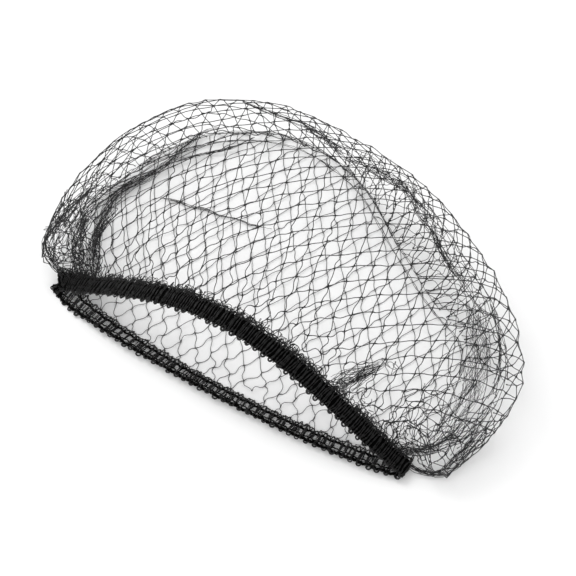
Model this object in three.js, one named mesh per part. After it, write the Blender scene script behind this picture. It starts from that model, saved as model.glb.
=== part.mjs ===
import * as THREE from 'three';

// A hairnet that lies on its lower layer of net, with its mouth towards -Y and its crown towards +Y.
// Sizes are in millimetres. X runs along the mouth and Z is up.

// The elastic band round the mouth: one arc lies on the floor, the other is raised.
const mouthHalf = 90;
const lowerBow = 8.2;
const lowerPower = 0.8;
const lowerHeight = 2.1;
const upperFoot = 5.3;
const upperRise = 36.2;
const upperPower = 1.42;
const upperLean = 1.5;
const upperSkew = 0.015;
const lowerTilt = THREE.MathUtils.degToRad(-18);
const upperTilt = THREE.MathUtils.degToRad(17);
const bandWidth = 6.6;
const bandThickness = 2.2;
const bandBevel = 0.5;
const picotCount = 94;
const picotReach = 0.8;

// The chain of heading loops between the band and the net.
const chainThickness = 1.2;
const chainSides = 5;
const chainWave = 0.15;
const gap = 0.3;
const netSeat = 0.6;

// The net: bars of one length, narrow long meshes at the band and wide short ones at the crown.
const netThickness = 1.2;
const barWidth = 2.6;
const acrossSteps = 14;
const floorSteps = 9;
const domeSteps = 11;
const bandStretch = 0.65;
const domeRoundness = 0.95;
const domeFall = 0.6;
const edgeDrop = 0.25;
const fanStart = 0.4;

const lineSteps = 12;

// One row for each section through the bag, from the left end of the mouth to the right end:
// where it leaves the band, the fold where the lower layer turns up, the widest point and the crest.
const sectionColumns = ['ringX', 'baseX', 'baseY', 'wideX', 'wideY', 'wideZ', 'crestX', 'crestY', 'crestZ'];
const sectionRows = [
  [-90, -92, 8, -93, 8, 3.5, -92, 8, 6.5],
  [-84, -101, 9, -104, 6, 11, -97, 6, 20],
  [-73, -109, 36, -110, 32, 20, -91, 20, 34],
  [-59, -106, 64, -107, 60, 25, -75, 37, 46],
  [-43, -100, 92, -98, 88, 27, -58, 48, 53],
  [-26, -82, 120, -80, 112, 26, -38, 53, 57],
  [-9, -50, 136, -47, 127, 26, -17, 55, 59],
  [9, -12, 130, -5, 126, 26, 3, 55, 60],
  [26, 25, 106, 30, 120, 26, 26, 53, 59],
  [43, 56, 86, 64, 104, 26, 49, 49, 56],
  [59, 80, 73, 98, 80, 25, 73, 40, 49],
  [73, 90, 45, 118, 49, 20, 95, 25, 36],
  [84, 94, 16, 110, 4, 11, 101, 4, 20],
  [90, 92, 8, 93, 8, 3.5, 92, 8, 6.5],
];

const yarnBlack = { color: 0x0b0b0c, roughness: 0.85, metalness: 0 };
const threadBlack = { color: 0x161617, roughness: 0.6, metalness: 0 };

// Places on the band.

function mouthShare(x) {
  const share = x / mouthHalf;
  return Math.max(0, 1 - share * share);
}

function lowerPlace(x) {
  const share = mouthShare(x);
  return {
    point: new THREE.Vector3(x, -lowerBow * share ** lowerPower, lowerHeight),
    tilt: lowerTilt * share,
  };
}

function upperPlace(x) {
  const share = mouthShare(x);
  return {
    point: new THREE.Vector3(x, upperLean - upperSkew * x, upperFoot + upperRise * share ** upperPower),
    tilt: upperTilt * share,
  };
}

function towardsNet(tilt) {
  return new THREE.Vector3(0, Math.cos(tilt), Math.sin(tilt));
}

function bendPlaces(side, steps) {
  const lower = lowerPlace(side * mouthHalf).point;
  const upper = upperPlace(side * mouthHalf).point;
  const radius = (upper.z - lower.z) / 2;
  const places = [];
  for (let step = 1; step < steps; step += 1) {
    const angle = Math.PI * (step / steps - 0.5);
    const point = lower.clone().lerp(upper, step / steps);
    point.x += side * radius * Math.cos(angle);
    point.z = lower.z + radius * (1 + Math.sin(angle));
    places.push({ point, tilt: 0 });
  }
  return places;
}

// The whole loop of the band's middle line: lying arc, right bend, raised arc, left bend.
function loopPlaces() {
  const arcSteps = 120;
  const bendSteps = 8;
  const lower = [];
  const upper = [];
  for (let step = 0; step <= arcSteps; step += 1) {
    const x = -mouthHalf * Math.cos(Math.PI * step / arcSteps);
    lower.push(lowerPlace(x));
    upper.push(upperPlace(-x));
  }
  const rightBend = bendPlaces(1, bendSteps);
  const leftBend = bendPlaces(-1, bendSteps).reverse();
  return [...lower, ...rightBend, ...upper, ...leftBend];
}

function runningLengths(points) {
  const lengths = [0];
  for (let index = 1; index < points.length; index += 1) {
    lengths.push(lengths[index - 1] + points[index].distanceTo(points[index - 1]));
  }
  return lengths;
}

// The place of a length in a list of running lengths: a whole index and the share of the next stretch.
function placeInLengths(lengths, target) {
  let index = 0;
  while (index < lengths.length - 2 && lengths[index + 1] < target) {
    index += 1;
  }
  return index + (target - lengths[index]) / (lengths[index + 1] - lengths[index]);
}

// Evenly spaced frames round the loop, each with its point and its along, width and depth directions.
function loopFrames(count) {
  const places = loopPlaces();
  const lengths = runningLengths([...places, places[0]].map(({ point }) => point));
  const spaced = [];
  for (let step = 0; step < count; step += 1) {
    const place = placeInLengths(lengths, lengths[places.length] * step / count);
    const index = Math.floor(place);
    const from = places[index];
    const to = places[(index + 1) % places.length];
    spaced.push({
      point: from.point.clone().lerp(to.point, place - index),
      tilt: THREE.MathUtils.lerp(from.tilt, to.tilt, place - index),
    });
  }
  return spaced.map(({ point, tilt }, step) => {
    const before = spaced[(step + count - 1) % count].point;
    const after = spaced[(step + 1) % count].point;
    const along = after.clone().sub(before).normalize();
    const width = towardsNet(tilt);
    width.addScaledVector(along, -width.dot(along)).normalize();
    const depth = new THREE.Vector3().crossVectors(along, width);
    return { point, along, width, depth };
  });
}

// A closed tube whose section, a list of [width, depth] pairs, may change from frame to frame.
function closedTube(frames, sectionAt) {
  const positions = [];
  const indices = [];
  const sides = sectionAt(0).length;
  frames.forEach((frame, step) => {
    for (const [width, depth] of sectionAt(step)) {
      const corner = frame.point.clone();
      corner.addScaledVector(frame.width, width);
      corner.addScaledVector(frame.depth, depth);
      positions.push(corner.x, corner.y, corner.z);
    }
  });
  for (let step = 0; step < frames.length; step += 1) {
    const here = step * sides;
    const ahead = ((step + 1) % frames.length) * sides;
    for (let side = 0; side < sides; side += 1) {
      const turn = (side + 1) % sides;
      indices.push(here + side, here + turn, ahead + turn);
      indices.push(here + side, ahead + turn, ahead + side);
    }
  }
  return indexedGeometry(positions, indices);
}

function indexedGeometry(positions, indices) {
  const geometry = new THREE.BufferGeometry();
  geometry.setAttribute('position', new THREE.Float32BufferAttribute(positions, 3));
  geometry.setIndex(indices);
  geometry.computeVertexNormals();
  return geometry;
}

function elasticBand(frames) {
  const halfWidth = bandWidth / 2;
  const halfDepth = bandThickness / 2;
  const rim = halfDepth - bandBevel;
  const sectionAt = (step) => {
    const free = -halfWidth - (step % 2 === 0 ? picotReach : 0);
    return [
      [free, -rim],
      [-halfWidth + bandBevel, -halfDepth],
      [halfWidth - bandBevel, -halfDepth],
      [halfWidth, -rim],
      [halfWidth, rim],
      [halfWidth - bandBevel, halfDepth],
      [-halfWidth + bandBevel, halfDepth],
      [free, rim],
    ];
  };
  return closedTube(frames, sectionAt);
}

function headingChain(frames) {
  const radius = chainThickness / 2;
  const middle = bandWidth / 2 + gap + radius;
  const sectionAt = (step) => {
    const depth = step % 2 === 0 ? chainWave : -chainWave;
    const corners = [];
    for (let side = 0; side < chainSides; side += 1) {
      const angle = 2 * Math.PI * side / chainSides;
      corners.push([middle + radius * Math.cos(angle), depth + radius * Math.sin(angle)]);
    }
    return corners;
  };
  return closedTube(frames, sectionAt);
}

// The form of the bag.

function smoothRow(position) {
  const last = sectionRows.length - 1;
  const index = Math.min(Math.floor(position), last - 1);
  const share = position - index;
  const row = {};
  sectionColumns.forEach((name, column) => {
    const at = (offset) => sectionRows[THREE.MathUtils.clamp(index + offset, 0, last)][column];
    const slopeIn = (at(1) - at(-1)) / 2;
    const slopeOut = (at(2) - at(0)) / 2;
    const curve = 2 * (at(0) - at(1)) + slopeIn + slopeOut;
    const bend = 3 * (at(1) - at(0)) - 2 * slopeIn - slopeOut;
    row[name] = at(0) + share * (slopeIn + share * (bend + share * curve));
  });
  return row;
}

// One section as the floor stretch and the points of the dome, from the fold over the crest to the band.
function bagSection(position) {
  const row = smoothRow(position);
  const reach = bandWidth / 2 + gap + chainThickness + netSeat;
  const middle = netThickness / 2;
  const lower = lowerPlace(row.ringX);
  const upper = upperPlace(row.ringX);
  const start = lower.point.addScaledVector(towardsNet(lower.tilt), reach);
  const end = upper.point.addScaledVector(towardsNet(upper.tilt), reach);
  const base = new THREE.Vector3(row.baseX, row.baseY, middle);
  const wide = new THREE.Vector3(row.wideX, row.wideY, row.wideZ);
  const crest = new THREE.Vector3(row.crestX, row.crestY, row.crestZ);
  const steps = 8;
  const dome = [];
  for (let step = 0; step < steps; step += 1) {
    const angle = Math.PI / 2 * step / steps;
    const point = base.clone().lerp(wide, Math.sin(angle));
    point.z = middle + (wide.z - middle) * (1 - Math.cos(angle));
    dome.push(point);
  }
  for (let step = 0; step < steps; step += 1) {
    const angle = Math.PI / 2 * step / steps;
    const point = crest.clone().lerp(wide, Math.cos(angle) ** domeRoundness);
    point.z = wide.z + (crest.z - wide.z) * Math.sin(angle) ** domeRoundness;
    dome.push(point);
  }
  for (let step = 0; step <= steps; step += 1) {
    const share = step / steps;
    const point = fannedPoint(end, crest, 1 - share);
    point.z = crest.z + (end.z - crest.z) * share * share * (domeFall + (1 - domeFall) * share);
    dome.push(point);
  }
  return { start, base, dome };
}

// A point on the way from the band, which the net leaves square to the mouth before it fans out.
function fannedPoint(start, end, share) {
  const square = start.clone();
  square.y += fanStart * start.distanceTo(end);
  return start.clone().lerp(square, share).lerp(square.lerp(end, share), share);
}

function floorPoint({ start, base }, share) {
  const point = fannedPoint(start, base, share);
  const drop = Math.max(0, 1 - share / edgeDrop);
  point.z = base.z + (start.z - base.z) * drop * drop;
  return point;
}

function domePoint({ dome }, share) {
  const lengths = runningLengths(dome);
  const place = placeInLengths(lengths, share * lengths[lengths.length - 1]);
  const index = Math.min(Math.floor(place), dome.length - 2);
  return dome[index].clone().lerp(dome[index + 1], place - index);
}

// Where the section of a column lies, with the columns evenly spaced along the bag's widest line.
const widestLine = Array.from({ length: (sectionRows.length - 1) * lineSteps + 1 }, (unused, step) => {
  const row = smoothRow(step / lineSteps);
  return new THREE.Vector3(row.wideX, row.wideY, row.wideZ);
});
const widestLengths = runningLengths(widestLine);

function columnSection(across) {
  const target = across / acrossSteps * widestLengths[widestLengths.length - 1];
  return bagSection(placeInLengths(widestLengths, target) / lineSteps);
}

// How far along a stretch a row of knots lies when the meshes grow longer towards the band at its end.
function rowShare(share) {
  return (share + bandStretch * share ** 3 / 3) / (1 + bandStretch / 3);
}

// A point of the net's middle surface, counted in half meshes across and along.
function netPoint(across, along) {
  const section = columnSection(across);
  if (along <= floorSteps) {
    return floorPoint(section, 1 - rowShare(1 - along / floorSteps));
  }
  return domePoint(section, rowShare((along - floorSteps) / domeSteps));
}

// The direction into the bag there.
function netInward(across, along) {
  const step = 0.05;
  const lastAlong = floorSteps + domeSteps;
  const clamp = THREE.MathUtils.clamp;
  const left = netPoint(clamp(across - step, 0, acrossSteps), along);
  const right = netPoint(clamp(across + step, 0, acrossSteps), along);
  const back = netPoint(across, clamp(along - step, 0, lastAlong));
  const front = netPoint(across, clamp(along + step, 0, lastAlong));
  return new THREE.Vector3().crossVectors(right.sub(left), front.sub(back)).normalize();
}

// The outline of one mesh of the net, as [across, along] corners; a mesh at an edge is a part of a diamond.
function meshOutline(across, along) {
  const lastAlong = floorSteps + domeSteps;
  const corners = [];
  const left = [across - 1, along];
  const right = [across + 1, along];
  const bottom = [across, along - 1];
  const top = [across, along + 1];
  if (along === 0 && across > 0 && across < acrossSteps) {
    corners.push(left, right, top);
  } else if (along === lastAlong && across > 0 && across < acrossSteps) {
    corners.push(left, bottom, right);
  } else if (across === 0) {
    corners.push(bottom, ...(along < lastAlong ? [right, top] : [right, [across, along]]));
  } else if (across === acrossSteps) {
    corners.push(left, bottom, ...(along < lastAlong ? [top] : [[across, along]]));
  } else {
    corners.push(left, bottom, right, top);
  }
  return corners;
}

// Adds a point halfway along each side, so that the bars follow the form.
function withMiddles(corners) {
  return corners.flatMap((corner, index) => {
    const next = corners[(index + 1) % corners.length];
    return [corner, [(corner[0] + next[0]) / 2, (corner[1] + next[1]) / 2]];
  });
}

function middleOf(outline) {
  const sum = outline.reduce((total, [across, along]) => [total[0] + across, total[1] + along], [0, 0]);
  return [sum[0] / outline.length, sum[1] / outline.length];
}

// How much smaller than its mesh a gap is, so that each bar is barWidth wide.
function gapShare(corners, centre) {
  const middle = netPoint(...centre);
  const distances = corners.map((corner, index) => {
    const line = new THREE.Line3(netPoint(...corner), netPoint(...corners[(index + 1) % corners.length]));
    return line.closestPointToPoint(middle, true, new THREE.Vector3()).distanceTo(middle);
  });
  return 1 - barWidth / 2 / Math.min(...distances);
}

function netCrown() {
  const positions = [];
  const indices = [];
  const shared = new Map();
  const lastAlong = floorSteps + domeSteps;

  // The outer and the inner corner at a place; the inner one always follows the outer one.
  const cornerPair = ([across, along]) => {
    const key = `${across.toFixed(3)} ${along.toFixed(3)}`;
    if (!shared.has(key)) {
      const middle = netPoint(across, along);
      const inward = netInward(across, along).multiplyScalar(netThickness / 2);
      shared.set(key, positions.length / 3);
      const outer = middle.clone().sub(inward);
      const inner = middle.clone().add(inward);
      positions.push(outer.x, outer.y, Math.max(outer.z, 0));
      positions.push(inner.x, inner.y, inner.z);
    }
    return shared.get(key);
  };

  const faceBothSides = (a, b, c) => {
    indices.push(a, c, b);
    indices.push(a + 1, b + 1, c + 1);
  };

  const wall = (a, b) => {
    indices.push(a, b, b + 1);
    indices.push(a, b + 1, a + 1);
  };

  const onEdge = ([acrossA, alongA], [acrossB, alongB]) => (
    (acrossA === acrossB && (acrossA === 0 || acrossA === acrossSteps))
    || (alongA === alongB && (alongA === 0 || alongA === lastAlong))
  );

  for (let along = 0; along <= lastAlong; along += 1) {
    for (let across = (along + 1) % 2; across <= acrossSteps; across += 2) {
      const corners = meshOutline(across, along);
      const outline = withMiddles(corners);
      const centre = middleOf(corners);
      const rim = outline.map(cornerPair);
      const open = across > 0 && across < acrossSteps;
      if (open) {
        const share = gapShare(corners, centre);
        const hole = outline.map(([a, b]) => cornerPair([
          THREE.MathUtils.lerp(centre[0], a, share),
          THREE.MathUtils.lerp(centre[1], b, share),
        ]));
        rim.forEach((corner, index) => {
          const turn = (index + 1) % rim.length;
          faceBothSides(corner, rim[turn], hole[turn]);
          faceBothSides(corner, hole[turn], hole[index]);
          wall(hole[turn], hole[index]);
        });
      } else {
        const hub = cornerPair(centre);
        rim.forEach((corner, index) => {
          faceBothSides(corner, rim[(index + 1) % rim.length], hub);
        });
      }
      outline.forEach((place, index) => {
        const turn = (index + 1) % outline.length;
        if (onEdge(place, outline[turn])) {
          wall(rim[index], rim[turn]);
        }
      });
    }
  }
  return indexedGeometry(positions, indices);
}

function namedMesh(name, geometry, finish) {
  const mesh = new THREE.Mesh(geometry, new THREE.MeshStandardMaterial(finish));
  mesh.name = name;
  return mesh;
}

// Two frames to each picot: its tip and the notch beside it.
const bandFrames = loopFrames(picotCount * 2);

const hairnet = new THREE.Group();
hairnet.add(namedMesh('elastic_band', elasticBand(bandFrames), yarnBlack));
hairnet.add(namedMesh('heading_chain', headingChain(bandFrames), yarnBlack));
hairnet.add(namedMesh('net_crown', netCrown(), threadBlack));

// The origin is at the middle of the bottom of the whole.
const box = new THREE.Box3().setFromObject(hairnet);
hairnet.position.set(-(box.min.x + box.max.x) / 2, -(box.min.y + box.max.y) / 2, -box.min.z);

export default hairnet;
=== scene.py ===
import math

import bpy
import numpy as np
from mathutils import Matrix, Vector
from mathutils.bvhtree import BVHTree


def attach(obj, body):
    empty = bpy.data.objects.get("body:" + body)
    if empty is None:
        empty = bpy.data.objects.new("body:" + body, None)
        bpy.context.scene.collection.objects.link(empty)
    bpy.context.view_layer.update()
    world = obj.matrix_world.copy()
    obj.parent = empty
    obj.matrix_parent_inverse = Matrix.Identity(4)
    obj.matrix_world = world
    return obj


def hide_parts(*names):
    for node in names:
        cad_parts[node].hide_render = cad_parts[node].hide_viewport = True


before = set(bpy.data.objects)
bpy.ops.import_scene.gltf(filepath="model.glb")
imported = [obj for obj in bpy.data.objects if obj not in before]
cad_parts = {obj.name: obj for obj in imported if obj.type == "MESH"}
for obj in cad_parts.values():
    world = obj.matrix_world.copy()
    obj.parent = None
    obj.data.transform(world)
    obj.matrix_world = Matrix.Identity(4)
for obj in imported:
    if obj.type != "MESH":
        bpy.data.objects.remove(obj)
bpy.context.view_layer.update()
print("frame loaded")

# Lengths are in millimetres until a mesh is made. X runs along the mouth, the crown lies towards +Y, Z is up.
form = {
    "originShift": (-3.5818, -60.879, 0.0),   # from the middle of the mouth to the shared frame
    "mouthHalf": 90.0,
    "lowerBow": 8.2,          # how far the lower arc bows out
    "lowerPower": 0.8,
    "lowerHeight": 2.1,
    "upperFoot": 5.3,
    "upperRise": 36.2,        # how high the raised arc stands above its feet
    "upperPower": 1.42,
    "upperLean": 1.5,
    "upperSkew": 0.015,
    "lowerTilt": math.radians(-18),
    "upperTilt": math.radians(17),
    "netReach": 5.4,          # from the middle of the band to the net's edge
    "netMiddle": 0.6,
    "domeRoundness": 0.95,
    "domeFall": 0.6,
    "edgeDrop": 0.25,
    "fanStart": 0.4,          # share of a section that leaves the band square to the mouth
    "arcSteps": 12,
}

# One row for each section through the bag, from the left end of the mouth to the right end.
sectionColumns = ["ringX", "baseX", "baseY", "wideX", "wideY", "wideZ", "crestX", "crestY", "crestZ"]
sectionRows = np.array([
    [-90, -92, 8, -93, 8, 3.5, -92, 8, 6.5],
    [-84, -101, 9, -104, 6, 11, -97, 6, 20],
    [-73, -109, 36, -110, 32, 20, -91, 20, 34],
    [-59, -106, 64, -107, 60, 25, -75, 37, 46],
    [-43, -100, 92, -98, 88, 27, -58, 48, 53],
    [-26, -82, 120, -80, 112, 26, -38, 53, 57],
    [-9, -50, 136, -47, 127, 26, -17, 55, 59],
    [9, -12, 130, -5, 126, 26, 3, 55, 60],
    [26, 25, 106, 30, 120, 26, 26, 53, 59],
    [43, 56, 86, 64, 104, 26, 49, 49, 56],
    [59, 80, 73, 98, 80, 25, 73, 40, 49],
    [73, 90, 45, 118, 49, 20, 95, 25, 36],
    [84, 94, 16, 110, 4, 11, 101, 4, 20],
    [90, 92, 8, 93, 8, 3.5, 92, 8, 6.5],
], float)

tiny = 1e-9
fullTurn = 2 * math.pi
anyPhase = (0, 6.3)           # radians, the random start of a wave


def lowerPlace(x):
    # a point of the lower arc's middle line, and how far the band tilts there
    share = max(0.0, 1 - (x / form["mouthHalf"]) ** 2)
    point = np.array([x, -form["lowerBow"] * share ** form["lowerPower"], form["lowerHeight"]])
    return point, form["lowerTilt"] * share


def upperPlace(x):
    share = max(0.0, 1 - (x / form["mouthHalf"]) ** 2)
    height = form["upperFoot"] + form["upperRise"] * share ** form["upperPower"]
    point = np.array([x, form["upperLean"] - form["upperSkew"] * x, height])
    return point, form["upperTilt"] * share


def towardsNet(tilt):
    return np.array([0.0, math.cos(tilt), math.sin(tilt)])


def netEdge(place, x):
    point, tilt = place(x)
    return point + towardsNet(tilt) * form["netReach"]


def smoothRow(position):
    # a smooth curve through the rows of the section table
    last = len(sectionRows) - 1
    index = min(int(position), last - 1)
    share = position - index
    at = lambda offset: sectionRows[min(max(index + offset, 0), last)]
    slopeIn, slopeOut = (at(1) - at(-1)) / 2, (at(2) - at(0)) / 2
    curve = 2 * (at(0) - at(1)) + slopeIn + slopeOut
    bend = 3 * (at(1) - at(0)) - 2 * slopeIn - slopeOut
    return at(0) + share * (slopeIn + share * (bend + share * curve))


def fannedPoint(start, end, share):
    # the net leaves the band square to the mouth before it fans out
    square = start + np.array([0, form["fanStart"] * np.linalg.norm(end - start), 0])
    return (start + (square - start) * share) * (1 - share) + (square + (end - square) * share) * share


def bagSection(position):
    # one section: its line over the floor, and its line over the dome from the fold to the raised arc
    row = dict(zip(sectionColumns, smoothRow(position)))
    start, end = netEdge(lowerPlace, row["ringX"]), netEdge(upperPlace, row["ringX"])
    middle = form["netMiddle"]
    base = np.array([row["baseX"], row["baseY"], middle])
    wide = np.array([row["wideX"], row["wideY"], row["wideZ"]])
    crest = np.array([row["crestX"], row["crestY"], row["crestZ"]])
    floor, dome = [], []
    for share in np.linspace(0, 1, 3 * form["arcSteps"]):
        point = fannedPoint(start, base, share)
        point[2] = middle + (start[2] - middle) * max(0, 1 - share / form["edgeDrop"]) ** 2
        floor.append(point)
    for angle in np.linspace(0, math.pi / 2, form["arcSteps"], endpoint=False):
        point = base + (wide - base) * math.sin(angle)
        point[2] = middle + (wide[2] - middle) * (1 - math.cos(angle))
        dome.append(point)
    for angle in np.linspace(0, math.pi / 2, form["arcSteps"], endpoint=False):
        point = crest + (wide - crest) * max(0, math.cos(angle)) ** form["domeRoundness"]
        point[2] = wide[2] + (crest[2] - wide[2]) * math.sin(angle) ** form["domeRoundness"]
        dome.append(point)
    for share in np.linspace(0, 1, form["arcSteps"] + 1):
        point = fannedPoint(end, crest, 1 - share)
        fall = share * share * (form["domeFall"] + (1 - form["domeFall"]) * share)
        point[2] = crest[2] + (end[2] - crest[2]) * fall
        dome.append(point)
    return np.array(floor), np.array(dome)


def runningLengths(points):
    return np.r_[0, np.cumsum(np.linalg.norm(np.diff(points, axis=0), axis=1))]


def evenlySpaced(points, count):
    lengths = runningLengths(points)
    targets = np.linspace(0, lengths[-1], count)
    return np.stack([np.interp(targets, lengths, points[:, axis]) for axis in range(3)], 1)


# The form as a grid: columns from left to right, rows over the floor layer and over the dome.
grid = {"columns": 181, "floorRows": 50, "domeRows": 90, "crestShare": 0.6, "sections": 400}
lastRow = grid["domeRows"] - 1


def formColumns():
    last = len(sectionRows) - 1 - tiny
    places = np.linspace(0, last, grid["sections"])
    rows = np.array([smoothRow(place) for place in places])
    wideRun, crestRun = runningLengths(rows[:, 3:6]), runningLengths(rows[:, 6:9])
    run = grid["crestShare"] * crestRun / crestRun[-1] + (1 - grid["crestShare"]) * wideRun / wideRun[-1]
    floors, domes, lengths, crests = [], [], [], []
    for share in np.linspace(0, 1, grid["columns"]):
        floor, dome = bagSection(np.interp(share, run, places))
        lengths.append(runningLengths(dome)[-1])
        crests.append(runningLengths(dome)[2 * form["arcSteps"]])
        floors.append(evenlySpaced(floor, grid["floorRows"]))
        domes.append(evenlySpaced(dome, grid["domeRows"]))
    return np.array(floors), np.array(domes), np.array(lengths), np.array(crests)


floorGrid, domeGrid, domeLengths, crestLengths = formColumns()


def treeOf(points):
    columns, rows = points.shape[:2]
    quads = []
    for column in range(columns - 1):
        for row in range(rows - 1):
            first = column * rows + row
            quads.append((first, first + 1, first + rows + 1, first + rows))
    return BVHTree.FromPolygons(points.reshape(-1, 3).tolist(), quads)


floorTree, domeTree = treeOf(floorGrid), treeOf(domeGrid)


def nearest(tree, points):
    return np.array([tree.find_nearest(Vector(point))[0] for point in points])


def surfaceNormals(tree, points):
    return np.array([tree.find_nearest(Vector(point))[1] for point in points])


print("form ready")


# Meshes from arrays of tubes.

def unit(vectors):
    return vectors / np.maximum(np.linalg.norm(vectors, axis=-1, keepdims=True), tiny)


def threadTubes(paths, radii, reference, sides=5, closed=False):
    # paths (n, m, 3), radii (n, m), reference (n, m, 3) a direction beside the path
    n, m = paths.shape[:2]
    if closed:
        tangents = unit(np.roll(paths, -1, 1) - np.roll(paths, 1, 1))
    else:
        tangents = unit(np.gradient(paths, axis=1))
    side = unit(reference - (reference * tangents).sum(-1, keepdims=True) * tangents)
    up = np.cross(tangents, side)
    angles = fullTurn * np.arange(sides) / sides
    ring = side[:, :, None] * np.cos(angles)[:, None] + up[:, :, None] * np.sin(angles)[:, None]
    points = paths[:, :, None] + ring * radii[:, :, None, None]
    steps = np.linalg.norm(np.diff(paths, axis=1), axis=2)
    runs = np.concatenate([np.zeros((n, 1)), np.cumsum(steps, 1)], 1)
    index = np.arange(n * m * sides).reshape(n, m, sides)
    ahead = np.roll(index, -1, 1) if closed else index[:, 1:]
    here = index if closed else index[:, :-1]
    quads = np.stack([here, np.roll(here, -1, 2), np.roll(ahead, -1, 2), ahead], -1).reshape(-1, 4)
    runHere = runs if closed else runs[:, :-1]
    runAhead = runs[:, 1:]
    if closed:
        runAhead = np.concatenate([runAhead, runs[:, -1:] + steps.mean()], 1)
    # in the UV map U is the length along the thread in mm, and V goes once round it
    shape = here.shape
    u0, u1 = np.broadcast_to(runHere[:, :, None], shape), np.broadcast_to(runAhead[:, :, None], shape)
    v0 = np.broadcast_to(np.arange(sides) / sides, shape)
    v1 = v0 + 1 / sides
    uv = np.stack([
        np.stack([u0, v0], -1), np.stack([u0, v1], -1), np.stack([u1, v1], -1), np.stack([u1, v0], -1),
    ], -2).reshape(-1, 2)
    caps = np.zeros((0, sides), int) if closed else np.concatenate([index[:, 0, ::-1], index[:, -1, :]])
    return points.reshape(-1, 3), quads, uv, caps


def evenTubes(paths, radius, reference, sides=5):
    return threadTubes(paths, np.full(paths.shape[:2], radius), reference, sides)


def meshPiece(name, parts):
    # joins the tubes of one piece and puts it in the shared frame
    allPoints, starts, corners, uvs, offset, at = [], [], [], [], 0, 0
    for points, quads, uv, caps in parts:
        allPoints.append(points)
        for faces, coordinates in ((quads, uv), (caps, np.zeros((caps.size, 2)))):
            if len(faces):
                starts.append(at + faces.shape[1] * np.arange(len(faces)))
                corners.append((faces + offset).ravel())
                uvs.append(coordinates)
                at += faces.size
        offset += len(points)
    points = (np.concatenate(allPoints) + np.array(form["originShift"])) / 1000
    corners, starts = np.concatenate(corners), np.concatenate(starts)
    mesh = bpy.data.meshes.new(name)
    mesh.vertices.add(len(points))
    mesh.vertices.foreach_set("co", points.astype(np.float32).ravel())
    mesh.loops.add(len(corners))
    mesh.loops.foreach_set("vertex_index", corners.astype(np.int32))
    mesh.polygons.add(len(starts))
    mesh.polygons.foreach_set("loop_start", starts.astype(np.int32))
    mesh.polygons.foreach_set("use_smooth", np.ones(len(starts), bool))
    layer = mesh.uv_layers.new(name="UVMap")
    layer.data.foreach_set("uv", np.concatenate(uvs).astype(np.float32).ravel())
    mesh.update(calc_edges=True)
    piece = bpy.data.objects.new(name, mesh)
    bpy.context.scene.collection.objects.link(piece)
    print(name, "faces", len(starts))
    return piece


# The knotted net: an even lattice of bars on each layer of the form, cut off at the fold and at the band.
net = {
    "barLength": 8.1,
    "halfAngle": math.radians(29.5),   # between a bar and the long way of its mesh
    "turn": math.radians(-12),
    "centre": (4.0, 20.0),
    "floorTurn": math.radians(-8),
    "floorStart": 60.0,
    "reach": 44,              # bars each way from the middle, on the dome and on the floor
    "floorReach": 40,
    "goalShare": 0.985,       # length that a bar is drawn to, as a share of its thread
    "cutRounds": 10,
    "shortestCut": 0.12,      # a cut bar shorter than this share of a whole one is left out
    "threadRadius": 0.19,
    "floorThreadRadius": 0.14,
    "knotSwell": 1.7,
    "knotShare": 0.07,        # share of a bar that its knot swells
    "barSteps": 7,
    "seed": 21,
}

# How the lattice strays and settles.
settle = {
    "stray": 1.4,             # mm that the lattice drifts
    "waves": 6,
    "waveLength": 45.0,
    "waveSpread": (0.6, 1.6),
    "waveSize": 1 / 3,
    "seed": 3,
    "steps": 90,
    "eagerness": 1.4,
    "backToFormEvery": 3,
    "give": 0.15,             # how hard a short bar pushes, against 1 for a long one that pulls
    "even": 0.01,
}

# How a bar bows between its knots.
bow = {
    "knotJitter": 0.3,        # mm
    "slack": 0.005,           # share of a bar that is spare
    "bandSlack": 0.1,         # the same beside the band
    "bandSlackReach": 18.0,
    "edgePoints": 91,         # along each arc, to find what lies beside it
    "slackSpread": (0.2, 1.8),
    "mostSpare": 0.4,
    "mostBow": 2.6,
    "shortest": 0.3,
    "turnSpread": 0.5,        # radians out of the surface
    "share": 0.5,             # part of the length to spare that shows as a bow
    "spread": 0.6,
}


def drift(points):
    # a slow random shift, for the way a net strays from an even lattice
    draw = np.random.default_rng(settle["seed"])
    total = np.zeros_like(points)
    for _ in range(settle["waves"]):
        direction = unit(draw.normal(size=3))
        way = direction * fullTurn / (settle["waveLength"] * draw.uniform(*settle["waveSpread"]))
        wave = np.sin(points @ way + draw.uniform(*anyPhase))
        total += wave[:, None] * draw.normal(size=3) * settle["waveSize"]
    return total


# The dome laid out flat as well as a sheet can be, so that a lattice can be drawn on it and carried back.
unfold = {"columnStep": 4, "rows": 24, "rounds": 1500, "eagerness": 1.5}


def pairsOf(first, second):
    return np.stack([first.ravel(), second.ravel()], 1)


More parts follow.
